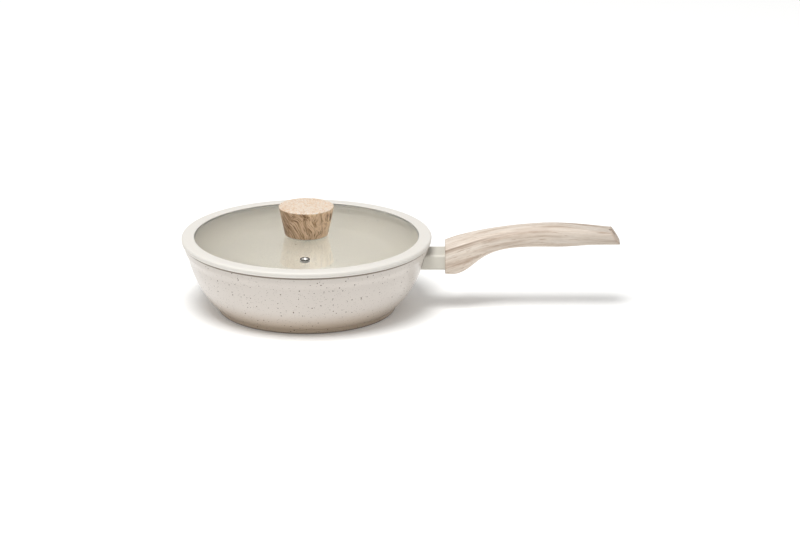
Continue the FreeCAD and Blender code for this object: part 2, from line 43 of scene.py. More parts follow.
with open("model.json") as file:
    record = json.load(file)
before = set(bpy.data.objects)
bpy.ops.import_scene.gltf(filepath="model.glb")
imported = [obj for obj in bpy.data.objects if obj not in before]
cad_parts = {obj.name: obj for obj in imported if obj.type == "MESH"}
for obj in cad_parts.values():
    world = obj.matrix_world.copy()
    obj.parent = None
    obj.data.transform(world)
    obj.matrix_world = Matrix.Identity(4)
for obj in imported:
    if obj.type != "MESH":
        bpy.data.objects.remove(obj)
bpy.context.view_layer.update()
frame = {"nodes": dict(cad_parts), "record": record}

MM = 0.001
PAN_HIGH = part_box("pan_body")[1]
RING_LOW, RING_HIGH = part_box("lid_ring")
KNOB_LOW, KNOB_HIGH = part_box("knob_body")
GLASS_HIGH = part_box("lid_glass")[1]
GRIP_LOW, GRIP_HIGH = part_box("handle_grip")
GUARD_LOW, GUARD_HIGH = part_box("flame_guard")


def linear(colour):
    """sRGB hex such as "#d8cfc6" as linear red, green and blue."""
    parts = [int(colour[i : i + 2], 16) / 255 for i in (1, 3, 5)]
    return tuple(c / 12.92 if c <= 0.04045 else ((c + 0.055) / 1.055) ** 2.4 for c in parts)


def rgba(colour, share=1.0):
    """A share of a colour, with full alpha, from hex or from three linear numbers."""
    parts = linear(colour) if isinstance(colour, str) else colour
    return (*(c * share for c in parts), 1.0)


# ------ surfaces

# Outline points nearer than this, in millimetres, are one point.
SAME_POINT = 1e-5
# Radius in metres that stands for the axis, so that the faces there keep an area.
AXIS_RADIUS = 1e-5
# Steps round the glass, the shell, the ring and the knob, the vent and a drill.
GLASS_STEPS, SHELL_STEPS, FINE_STEPS, VENT_STEPS, DRILL_STEPS = 288, 280, 320, 96, 64
SHARP_EDGE = math.radians(40)
SHARP_CUT = math.radians(35)


def edge_points(start, end, radius, trim_start, trim_end, spacing):
    """Points along an edge: a straight line, or an arc of the given radius, positive when it turns
    anticlockwise. Both ends are trimmed by a length along the edge."""
    chord = end - start
    span = np.hypot(*chord)
    if not radius:
        count = max(2, int((span - trim_start - trim_end) / spacing) + 1)
        share = np.linspace(trim_start, span - trim_end, count)[:, None] / span
        return start + chord * share
    normal = np.array([-chord[1], chord[0]]) / span
    centre = (start + end) / 2 + normal * math.copysign(math.sqrt(radius**2 - span**2 / 4), radius)
    sweep = math.copysign(2 * math.asin(span / (2 * abs(radius))), radius)
    first = math.atan2(*(start - centre)[::-1])
    length = abs(sweep * radius)
    count = max(4, int(length / spacing) + 1)
    turn = first + sweep * np.linspace(trim_start, length - trim_end, count) / length
    return centre + abs(radius) * np.stack([np.cos(turn), np.sin(turn)], 1)


def outline(corners, spacing=1.2, closed=True):
    """Outline through (r, z, rounding, radius) corners in millimetres, in metres. Rounding is how far
    from the corner its quadratic curve starts, and radius bends the edge that ends there."""
    corners = [(*c, 0.0, 0.0)[:4] for c in corners]
    places = [np.array(c[:2], float) for c in corners]
    ends = range(0 if closed else 1, len(corners))
    pieces = [edge_points(places[end - 1], places[end], corners[end][3], corners[end - 1][2],
                          corners[end][2], spacing) for end in ends]
    share = np.linspace(0, 1, 8)[1:-1, None]
    joined = []
    for end, piece, after in zip(ends, pieces, pieces[1:] + pieces[:1]):
        joined.append(piece)
        if corners[end][2] and (closed or end != ends[-1]):
            joined.append((1 - share) ** 2 * piece[-1] + 2 * share * (1 - share) * places[end]
                          + share**2 * after[0])
    points = np.concatenate(joined)
    # An open outline's last point is followed by a far one here, so that it stays.
    after_last = points[:1] if closed else points[-1:] + 1
    step = np.linalg.norm(np.diff(points, axis=0, append=after_last), axis=1)
    return points[step > SAME_POINT] * MM


def grid_quads(rows, columns, wrap):
    """Corner indices of the quads of a grid whose columns close on themselves, and whose rows may."""
    here = np.arange(rows * columns).reshape(rows, columns)
    beside = np.roll(here, -1, 0)
    corners = np.stack([here, np.roll(here, -1, 1), np.roll(beside, -1, 1), beside], -1)
    return corners[: rows if wrap else rows - 1].reshape(-1, 4)


def fans(rows, columns):
    """Triangles that close a grid's first and last rows onto two middles, which follow its points."""
    ring = np.arange(columns)
    ahead, middle = np.roll(ring, -1), np.full(columns, rows * columns)
    last = (rows - 1) * columns
    low = np.stack([ahead, ring, middle], 1)
    high = np.stack([last + ring, last + ahead, middle + 1], 1)
    return np.concatenate([low, high])


def signed_volume(points, quads, triangles):
    """Six times the enclosed volume, negative where the faces point inwards."""
    faces = np.concatenate([quads[:, [0, 1, 2]], quads[:, [0, 2, 3]], triangles])
    a, b, c = points[faces[:, 0]], points[faces[:, 1]], points[faces[:, 2]]
    return np.einsum("ij,ij->", a, np.cross(b, c))


def in_scene(name, data):
    """Object with the given data, linked to the scene."""
    made = bpy.data.objects.new(name, data)
    bpy.context.scene.collection.objects.link(made)
    return made


def surface(name, grid, wrap=False):
    """Object from a grid of points, rows by columns. The columns close; the rows close too if wrap is
    true, and otherwise each end is closed onto its own middle."""
    rows, columns, _ = grid.shape
    points = grid.reshape(-1, 3)
    quads = grid_quads(rows, columns, wrap)
    triangles = np.zeros((0, 3), int)
    if not wrap:
        triangles = fans(rows, columns)
        points = np.concatenate([points, grid[0].mean(0)[None], grid[-1].mean(0)[None]])
    if signed_volume(points, quads, triangles) < 0:
        quads, triangles = quads[:, ::-1], triangles[:, ::-1]
    mesh = bpy.data.meshes.new(name)
    mesh.from_pydata(points.tolist(), [], quads.tolist() + triangles.tolist(), shade_flat=False)
    mesh.validate()
    mesh.set_sharp_from_angle(angle=SHARP_EDGE)
    return in_scene(name, mesh)


def turned(name, profile, steps, closed=False, place=None):
    """Surface of revolution: each (r, z) of the profile carried round Z in equal steps. A closed
    profile makes a ring; an open one starts and ends on the axis."""
    angle = np.linspace(0, 2 * math.pi, steps, endpoint=False)
    radius, height = profile[:, 0][:, None], profile[:, 1][:, None]
    if not closed:
        radius = np.maximum(radius, AXIS_RADIUS)
    grid = np.stack([radius * np.cos(angle), radius * np.sin(angle), height + 0 * angle], -1)
    if place is not None:
        grid = grid @ np.array(place.to_3x3()).T + np.array(place.translation)
    return surface(name, grid, wrap=closed)


def drill(radius, start, end, place):
    """A cylinder to cut with, from start to end along its own axis."""
    profile = np.array([(0, start), (radius, start), (radius, end), (0, end)])
    return turned("drill", profile, DRILL_STEPS, place=place)


def spline(knots, values, at):
    """Natural cubic spline: the smoothest curve through the values, straight at both ends."""
    gap = np.diff(knots)
    matrix, right = np.eye(len(knots)), np.zeros(len(knots))
    inner = np.arange(1, len(knots) - 1)
    matrix[inner, inner - 1] = gap[:-1]
    matrix[inner, inner] = 2 * (gap[:-1] + gap[1:])
    matrix[inner, inner + 1] = gap[1:]
    right[inner] = 6 * np.diff(np.diff(values) / gap)
    bend = np.linalg.solve(matrix, right)
    index = np.clip(np.searchsorted(knots, at) - 1, 0, len(knots) - 2)
    span, curve = gap[index], 0
    for end, away in ((index, knots[index + 1] - at), (index + 1, at - knots[index])):
        curve += bend[end] * away**3 / (6 * span) + (values[end] / span - bend[end] * span / 6) * away
    return curve


def rounded_sections(top, bottom, half, upper, lower, arc_steps, side_steps):
    """Sections as rounded rectangles, one for each row of the given arrays: each corner is a quarter
    circle of its own radius, and the flats between are divided evenly. Returns y and z."""
    top, bottom, half, upper, lower = np.broadcast_arrays(*np.atleast_1d(top, bottom, half, upper, lower))
    corners = [(1, bottom, lower, -90), (1, top, upper, 0), (-1, top, upper, 90), (-1, bottom, lower, 180)]
    arcs = []
    for side, edge, radius, first in corners:
        turn = np.radians(first + np.linspace(0, 90, arc_steps))[None, :]
        inward = 1 if edge is bottom else -1
        y = side * (half - radius)[:, None] + radius[:, None] * np.cos(turn)
        z = (edge + inward * radius)[:, None] + radius[:, None] * np.sin(turn)
        arcs.append(np.stack([y, z], -1))
    share = np.linspace(0, 1, side_steps + 2)[1:-1][None, :, None]
    around = []
    for index, arc in enumerate(arcs):
        following = arcs[(index + 1) % 4]
        around += [arc, arc[:, -1:] * (1 - share) + following[:, :1] * share]
    section = np.concatenate(around, 1)
    return section[..., 0], section[..., 1]


def capped(grid, normal_start, normal_end, rounding, rings):
    """Close both ends of a tube of rings: each end turns a quarter circle of the given rounding and
    then runs flat, in rings, almost to its middle. The normals point out of the two ends."""

    def cap(ring, normal):
        tangent = np.roll(ring, -1, 0) - np.roll(ring, 1, 0)
        inward = np.cross(normal, tangent)
        inward /= np.linalg.norm(inward, axis=1)[:, None]
        centre = ring.mean(0)
        inward *= np.sign(np.einsum("ij,ij->i", inward, centre - ring).sum())
        angle = np.linspace(0, math.pi / 2, 7)[1:, None, None]
        turned_in = ring + rounding * (np.sin(angle) * normal + (1 - np.cos(angle)) * inward)
        flat = turned_in[-1]
        share = np.linspace(0, 0.96, rings)[1:, None, None]
        return np.concatenate([turned_in, flat + (flat.mean(0) - flat) * share])

    start = cap(grid[0], np.array(normal_start, float))[::-1]
    end = cap(grid[-1], np.array(normal_end, float))
    return np.concatenate([start, grid, end])


def carve(piece, *cutters):
    """Cut other closed surfaces out of a piece, and remove them."""
    for cutter in cutters:
        modifier = piece.modifiers.new("carve", "BOOLEAN")
        modifier.operation = "DIFFERENCE"
        modifier.solver = "EXACT"
        modifier.object = cutter
    bpy.context.view_layer.update()
    shaped = piece.evaluated_get(bpy.context.evaluated_depsgraph_get())
    mesh = bpy.data.meshes.new_from_object(shaped)
    piece.modifiers.clear()
    old = piece.data
    piece.data = mesh
    bpy.data.meshes.remove(old)
    mesh.set_sharp_from_angle(angle=SHARP_CUT)
    for cutter in cutters:
        bpy.data.objects.remove(cutter)


def finish_piece(piece, body, slot, material, *nodes):
    """Give a piece its material and its body, and hide the CAD nodes that it stands for. The slot is not
    used.
    """
    piece.data.materials.clear()
    piece.data.materials.append(material)
    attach(piece, body)
    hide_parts(*nodes)


# ------ material nodes


def connect(tree, value, socket):
    """Link a socket, or a node's first output, to an input, or set the input's value."""
    if isinstance(value, Node):
        value = value.outputs[0]
    if isinstance(value, NodeSocket):
        tree.links.new(value, socket)
    else:
        socket.default_value = value


def add(tree, kind, inputs=(), stops=(), **settings):
    """Add a node: settings are its properties, and stops are a colour ramp's (position, colour) pairs.
    Inputs are values, nodes or sockets, by name or number or in their own order, which on a MapRange is
    the value, from where, to where, and what it has at each. A sum is the usual operation of Math."""
    made = tree.nodes.new("ShaderNode" + kind)
    for name, value in settings.items():
        setattr(made, name, value)
    for name, value in inputs.items() if isinstance(inputs, dict) else enumerate(inputs):
        connect(tree, value, made.inputs[name])
    for index, (position, colour) in enumerate(stops):
        ramp = made.color_ramp.elements
        element = ramp[index] if index < 2 else ramp.new(position)
        element.position = position
        element.color = rgba(colour)
    return made


def mix(tree, share, first, second, blend="MIX"):
    """Mix of two colours, which are the node's inputs 6 and 7 and its output 2."""
    inputs = {0: share, 6: first, 7: second}
    return add(tree, "Mix", inputs, data_type="RGBA", blend_type=blend).outputs[2]


def new_material(name):
    """A material with an empty node tree. Returns it, its tree and its object coordinates."""
    material = bpy.data.materials.new(name)
    material.use_nodes = True
    tree = material.node_tree
    tree.nodes.clear()
    return material, tree, add(tree, "TexCoord").outputs["Object"]


def finished(material, inputs):
    """The material with its shader, whose own sockets are set or linked, sent to the output."""
    shader = add(material.node_tree, "BsdfPrincipled", inputs)
    add(material.node_tree, "OutputMaterial", {"Surface": shader})
    return material


def mount(name):
    """Place, axis and dimensions of one of the frame's mounts."""
    found = next(m for m in frame["record"]["mounts"] if m["name"] == name)
    return Vector(found["pos_m"]), Vector(found["axis"]).normalized(), found["dims"]


def per_mm(size):
    """Texture scale that makes one repeat this many millimetres long."""
    return 1 / (size * MM)


def bump(tree, height, depth_mm):
    """Normal from a height in 0 to 1 that stands for a depth in millimetres."""
    return add(tree, "Bump", {"Height": height, "Distance": depth_mm * MM})


def speckle_mask(tree, place, spacing_mm, largest, share, seed):
    """Round flecks scattered one to a cell: a fleck is where the distance to the cell's own point is
    under a random radius, and only a share of the cells have one. The seed moves the cells."""
    shifted = add(tree, "VectorMath", (place, (seed, seed * 0.7, seed * 1.3)))
    cells = add(tree, "TexVoronoi", {"Vector": shifted, "Scale": per_mm(spacing_mm)})
    random = add(tree, "SeparateColor", {"Color": cells.outputs["Color"]})
    radius = add(tree, "Math", (random.outputs[0], 2.0), operation="POWER")
    radius = add(tree, "Math", (radius, largest, largest * 0.4), operation="MULTIPLY_ADD")
    inside = add(tree, "Math", (cells.outputs["Distance"], radius), operation="DIVIDE")
    soft = add(tree, "MapRange", (inside, 1.1, 0.7))
    chosen = add(tree, "Math", (random.outputs[1], share), operation="LESS_THAN")
    return add(tree, "Math", (soft, chosen), operation="MULTIPLY")


def cloudy_finish(name, tones, cloud_mm, skin, rough, depth_mm, others=None):
    """A material of two tones in soft clouds. Its skin, of a size in millimetres and a detail, stands up
    by a depth and varies the roughness. Others are more of the shader's sockets."""
    material, tree, place = new_material(name)
    cloud = add(tree, "TexNoise", {"Vector": place, "Scale": per_mm(cloud_mm), "Detail": 4})
    height = add(tree, "TexNoise", {"Vector": place, "Scale": per_mm(skin[0]), "Detail": skin[1]})
    return finished(material, {
        "Base Color": mix(tree, cloud, *tones), "Roughness": add(tree, "MapRange", (height, 0, 1, *rough)),
        "Normal": bump(tree, height, depth_mm), **(others or {})})


# ------ properties


def colour_property(name, description, default):
    """A colour picker with its default from hex."""
    return FloatVectorProperty(name=name, description=description, subtype="COLOR", size=3,
                               min=0, max=1, default=linear(default))


class PanLook(PropertyGroup):
    """Sizes and colours of the pan's shell and neck."""

    coating: colour_property("Coating", "Ceramic coating of the shell", "#d1c9c1")
    # Painted shade: the coating's darker tone towards the foot.
    coating_low_shade: colour_property("Coating at the foot", "Coating where it was fired darkest", "#b4a28e")
    inside: colour_property("Inside coating", "Non-stick coating of the inside", "#f5eedf")
    speckle: colour_property("Speckle", "Flecks in the coating", "#4d392a")
    speckle_spacing: FloatProperty(
        name="Speckle spacing", description="Size of a cell that may hold a fleck",
        default=3.0 * MM, min=1 * MM, max=20 * MM, subtype="DISTANCE", unit="LENGTH")
    # Ground metal of the rim and foot, darkened as painted shade of the gap under the lid ring and of the
    # contact with the floor.
    bare_edge_and_shade: colour_property("Bare edge", "Ground rim and foot edge, where the coating stops", "#897e72")
    neck: colour_property("Neck", "Coating of the neck", "#cfcbc0")


class HandleLook(PropertyGroup):
    """Sizes and colours of the grip."""

    pale: colour_property("Pale wood", "Lightest tone of the grip's print", "#e2d7cb")
    middle: colour_property("Middle wood", "Ground tone of the grip's print", "#d6c8b9")
    dark: colour_property("Dark wood", "Streaks of the grip's print", "#b29d8b")
    front_edge: FloatProperty(
        name="Front edge", description="Rounding of the grip's front edge",
        default=1.0 * MM, min=0.2 * MM, max=3 * MM, subtype="DISTANCE", unit="LENGTH")


class LidLook(PropertyGroup):
    """Sizes and colours of the lid."""

    silicone: colour_property("Silicone", "Ring round the glass", "#dedad3")
    glass: colour_property("Glass tint", "Tint of the tempered glass", "#fdfefc")
    knob_pale: colour_property("Pale knob wood", "Lightest tone of the knob's print", "#e6c9a8")
    knob_middle: colour_property("Middle knob wood", "Ground tone of the knob's print", "#c19d7a")
    # Partly the end grain's own paler print, partly a painted highlight of the lit top.
    knob_top_print_and_light: colour_property("Knob end", "Paler tone of the knob's flat top", "#ddd5cb")
    knob_dark: colour_property("Dark knob wood", "Veins of the knob's print", "#6f4d33")


class StageLook(PropertyGroup):
    """The studio."""

    paper: colour_property("Paper", "Studio floor", "#f7f7f6")
    glow: FloatProperty(name="Glow", description="Light that comes through the paper from below",
                        default=0.1, min=0, max=1)
    light: FloatProperty(name="Light", description="Strength of the overhead softbox, in watts",
                         default=150.0, min=1, max=500)
    surround: FloatProperty(name="Surround", description="Strength of the white surround",
                            default=0.47, min=0, max=5)


# ------ pan

# Heights over which painted shade turns the coating to its darker, warmer tone towards the foot, and over
# which it turns to the ground metal of the foot and rim, which painted shade darkens too.
LOW_SHADE_BAND = (29 * MM, 3 * MM)
FOOT_BARE_AND_SHADE = (1.7 * MM, 1.3 * MM)
RIM_BARE_AND_SHADE = (PAN_HIGH.z - 2.0 * MM, PAN_HIGH.z - 1.6 * MM)
# Share of the cells that hold a fleck, and the largest radius of a fleck and of a grain, in cells.
FLECKS_OUTSIDE, FLECKS_INSIDE = 0.7, 0.16
FLECK_RADIUS, GRAIN_RADIUS = 0.19, 0.22
# Spacing and depth of colour of the grains, as shares of the flecks'.
GRAIN_SPACING, GRAIN_DEPTH = 0.45, 0.6


def ceramic_coating(look, colour, name, outside):
    """Sprayed and fired ceramic: a satin, slightly rippled skin with brown flecks. Outside, painted shade
    makes it darker and warmer low down, and it stops short of the ground rim and of the foot's machined
    edge, which are grey metal darkened by painted shade."""
    material, tree, place = new_material(name)
    wobble = add(tree, "TexNoise", {"Vector": place, "Scale": per_mm(3)})
    offset = add(tree, "VectorMath", {0: wobble.outputs["Color"], 3: 0.8 * MM}, operation="SCALE")
    moved = add(tree, "VectorMath", (place, offset))
    cloud = add(tree, "TexNoise", {"Vector": place, "Scale": per_mm(45), "Detail": 3})
    tone = mix(tree, cloud, rgba(colour), rgba(colour, 0.93))
    if outside:
        height = add(tree, "SeparateXYZ", (place,)).outputs["Z"]
        # Painted shade: the coating darkens towards the foot.
        low = add(tree, "MapRange", (height, *LOW_SHADE_BAND), interpolation_type="SMOOTHSTEP")
        tone = mix(tree, low, tone, rgba(look.coating_low_shade))
    spacing = look.speckle_spacing / MM
    share = FLECKS_OUTSIDE if outside else FLECKS_INSIDE
    flecks = speckle_mask(tree, moved, spacing, FLECK_RADIUS, share, 0.31)
    grains = speckle_mask(tree, moved, spacing * GRAIN_SPACING, GRAIN_RADIUS, share, 0.53)
    faint = add(tree, "Math", (grains, GRAIN_DEPTH), operation="MULTIPLY")
    for shade in (faint, flecks):
        tone = mix(tree, shade, tone, rgba(look.speckle))
    if outside:
        # Ground metal at the rim and the foot, darkened as painted shade.
        rim, foot = (add(tree, "MapRange", (height, *band)) for band in (RIM_BARE_AND_SHADE, FOOT_BARE_AND_SHADE))
        bare_and_shade = add(tree, "Math", (rim, foot), operation="MAXIMUM")
        tone = mix(tree, bare_and_shade, tone, rgba(look.bare_edge_and_shade))
    ripple = add(tree, "TexNoise", {"Vector": place, "Scale": per_mm(2.2)})
    rough = add(tree, "MapRange", (cloud, 0, 1, 0.34, 0.44))
    return finished(material, {
        "Base Color": tone, "Roughness": rough, "Coat Weight": 0.5, "Coat Roughness": 0.16,
        "Normal": bump(tree, ripple, 0.02),
    })


# Half section of the shell in millimetres: the steel disc's seat and the pan's floor, then the wall
# from the foot up and from the rim down.
DISC_RADIUS, DISC_DEPTH, PAN_FLOOR = 79.8, 1.2, 5.5
WALL_OUTSIDE = [
    # r, z, rounding, edge radius
    (88.6, 0.0, 1.4), (89.0, 4.6, 0.8), (90.6, 5.6, 0.8), (117.2, 51.0, 2.0, 93.4),
    (118.3, 55.5, 2.0), (121.3, 61.6, 1.2), (122.35, 68.7, 2.0),
]
WALL_INSIDE = [
    (118.3, 68.7, 1.3), (113.9, 51.8, 1.0, 0.0), (88.0, 8.1, 0.5, -90.0), (81.4, PAN_FLOOR, 0.5, -9.6),
]
# A face of the inside is above the first height, and one of the pan's floor is also below the second.
INSIDE_FROM, FLOOR_BELOW = 5 * MM, 20 * MM


def wall_radius(height):
    """Outer radius of the wall at a height, both in metres."""
    line = outline(WALL_OUTSIDE, closed=False)
    return np.interp(height, line[:, 1], line[:, 0])


class PAN_OT_shell(Operator):
    """Make the coated shell of the pan"""

    bl_idname = "lidded_pan.shell"
    bl_label = "Shell"

    def execute(self, context):
        look = context.scene.pan_look
        rim = PAN_HIGH.z / MM
        seat = [(0, DISC_DEPTH), (DISC_RADIUS, DISC_DEPTH, 0.2), (DISC_RADIUS, 0.0, 0.3)]
        corners = seat + WALL_OUTSIDE + WALL_INSIDE + [(0, PAN_FLOOR)]
        profile = outline([(c[0], min(c[1], rim), *c[2:]) for c in corners], closed=False)
        shell = turned("pan_shell", profile, SHELL_STEPS)
        outside = ceramic_coating(look, look.coating, "Speckled ceramic coating", True)
        finish_piece(shell, "pan", "pan_coating", outside, "pan_body")
        shell.data.materials.append(ceramic_coating(look, look.inside, "Speckled inside coating", False))
        self.paint_inside(shell)
        return {"FINISHED"}

    def paint_inside(self, shell):
        """Second material on the faces that look at the axis or up from the floor."""
        faces = shell.data.polygons
        centre, normal = np.empty((2, len(faces), 3))
        faces.foreach_get("center", centre.ravel())
        faces.foreach_get("normal", normal.ravel())
        inward = (centre[:, :2] * normal[:, :2]).sum(1) < 0
        floor = (normal[:, 2] > 0.5) & (centre[:, 2] < FLOOR_BELOW)
        inside = (inward | floor) & (centre[:, 2] > INSIDE_FROM)
        faces.foreach_set("material_index", inside.astype(np.int32))


NECK_WALL = 2.2 * MM
NECK_CORNER, NECK_INNER_CORNER = 2.5 * MM, 0.8 * MM
# How far the neck stops from the wall, and its last ring from the neck's end in the grip.
NECK_ROOT_GAP, NECK_END_GAP = 0.25 * MM, 0.6 * MM
# The rounding of its closed ends, and how far the lip of its hollow end stands out to the wall.
NECK_ROUNDING, NECK_LIP = 0.4 * MM, 0.15 * MM
# How deep the neck is hollow, as a share of its length.
NECK_HOLLOW = 0.6


class PAN_OT_neck(Operator):
    """Make the coated neck between the wall and the grip"""

    bl_idname = "lidded_pan.neck"
    bl_label = "Neck"

    def execute(self, context):
        low, high = GUARD_LOW, GUARD_HIGH
        shares = np.concatenate([np.linspace(0, 0.05, 4), np.linspace(0.1, 1, 16)])

        def tube(inset, travel):
            """Rings of the neck, inset from its outer face, at shares of the way from wall to grip."""
            corner = max(NECK_CORNER - inset, NECK_INNER_CORNER)
            y, z = rounded_sections(high.z - inset, low.z + inset, high.y - inset, corner, corner, 8, 10)
            root = np.sqrt(wall_radius(z) ** 2 - y**2) + NECK_ROOT_GAP
            x = root + (high.x - NECK_END_GAP - root) * travel[:, None]
            return np.stack(np.broadcast_arrays(x, y, z), -1)

        outer, inner = tube(0, shares), tube(NECK_WALL, np.linspace(0, NECK_HOLLOW, 6)[::-1])
        lip = (inner[-1:] + outer[:1]) / 2 - np.array([NECK_LIP, 0, 0])
        grid = capped(np.concatenate([inner, lip, outer]), (1, 0, 0), (1, 0, 0), NECK_ROUNDING, 4)
        neck = surface("neck", grid)
        finish_piece(neck, "pan", "neck_coating", self.material(context.scene.pan_look), "flame_guard")
        return {"FINISHED"}

    def material(self, look):
        """Plain ceramic coating on cast aluminium: satin, with the casting's faint unevenness."""
        tones = rgba(look.neck), rgba(look.neck, 0.92)
        return cloudy_finish("Satin coated aluminium", tones, 9, (1.6, 2), (0.36, 0.48), 0.015)


class PAN_OT_base(Operator):
    """Finish the steel disc in the underside"""

    bl_idname = "lidded_pan.base"
    bl_label = "Base disc"

    def execute(self, context):
        """Turned stainless steel: bright and streaky, with the lathe's rings. The real ones are about
        0.3 mm apart, and are drawn ten times as far apart, so that they show."""
        material, tree, place = new_material("Turned stainless steel")
        # A wave texture turns 20 radians in a length of one, at scale one.
        rings_per_scale = 20 / (2 * math.pi)
        rings = add(tree, "TexWave", {"Vector": place, "Scale": per_mm(3) / rings_per_scale,
                                      "Distortion": 0.15},
                    wave_type="RINGS", rings_direction="Z")
        streak = add(tree, "TexNoise", {"Vector": place, "Scale": per_mm(14), "Detail": 5})
        rough = add(tree, "MapRange", (streak, 0, 1, 0.24, 0.42))
        tone = mix(tree, streak, rgba("#b9b8b4"), rgba("#a3a29f"))
        finished(material, {"Base Color": tone, "Metallic": 1.0, "Roughness": rough,
                            "Normal": bump(tree, rings.outputs["Fac"], 0.1)})
        assign("induction_base", material)
        return {"FINISHED"}


def assign(node, material):
    """Give a CAD node a material."""
    target = frame["nodes"][node]
    target.data.materials.clear()
    target.data.materials.append(material)


# ------ grip

GRIP_STATIONS = np.array([
    # x, top, bottom, width, upper corner, lower corner, in millimetres
    (138.2, 65.6, 37.6, 37.0, 1.6, 9.0),
    (149.0, 69.6, 37.2, 36.4, 1.8, 10.0),
    (161.0, 73.2, 42.4, 34.6, 2.4, 10.5),
    (173.0, 76.5, 51.6, 32.4, 3.6, 10.5),
    (186.0, 79.6, 58.6, 30.2, 5.4, 10.0),
    (204.0, 83.0, 62.8, 28.2, 7.6, 9.8),
    (222.0, 85.2, 64.0, 27.2, 9.0, 9.6),
    (240.0, 86.3, 64.1, 27.0, 9.0, 9.6),
    (258.0, 86.0, 64.3, 27.3, 9.0, 9.6),
    (276.0, 85.0, 65.7, 27.5, 8.6, 9.0),
    (296.0, 83.6, 66.5, 27.2, 7.9, 8.0),
    (316.0, 82.2, 66.8, 26.4, 7.2, 7.2),
]) * MM
# Planes of the tail's top and end: x and z of a point in each, and its slope.
TAIL_FLAT = (259 * MM, 85.4 * MM, math.radians(6.2))
TAIL_END = (303.2 * MM, 81.2 * MM, math.radians(56.5))
END_NORMAL = (math.sin(TAIL_END[2]), 0, math.cos(TAIL_END[2]))
# Where the sections start to lean to the end's plane, and how far short of it the last one is.
LEAN_FROM, END_GAP = 262 * MM, 0.7 * MM
# How far the top falls from its middle to its sides.
CROWN = 0.9 * MM
# The flat blends into the top over this length, and cuts only what is this high over the bottom.
FLAT_BLEND, FLAT_REACH = 0.12 * MM, 4 * MM
GRIP_RINGS = 260
SOCKET_GAP = 0.2 * MM
# The bolt's bore and the driver's access behind it: radius and length.
BOLT_BORE, DRIVER_ACCESS = (4.5 * MM, 30 * MM), (6.5 * MM, 38 * MM)


def soft_min(first, second, blend):
    """The smaller of two values, rounded where they cross over the blend length."""
    half = (first + second) / 2
    return half - np.sqrt((first - second) ** 2 / 4 + blend**2)


# Where the print's grain starts to fall to the root, how far it falls and the power of its curve.
GRAIN_TURN, GRAIN_FALL, GRAIN_CURVE = 240 * MM, 20.7 * MM, 1.774
# Heights, on the level grain, over which painted shade darkens the print from the top to the sides.
SIDE_SHADE_BAND = (85.0 * MM, 77.0 * MM)
# Where the print starts to darken towards the tail.
TAIL_FROM = 165 * MM
# The painted crease shade at the root: its height on the level grain, its soft edge and where it fades in.
CREASE_SHADE_LEVEL, CREASE_SHADE_EDGE, CREASE_SHADE_SPAN = 83.9 * MM, (1.3 * MM, 0.3 * MM), (226 * MM, 168 * MM)
# Depths under the end's plane over which painted shade darkens the end.
END_SHADE_BAND = (1.6 * MM, 0.4 * MM)


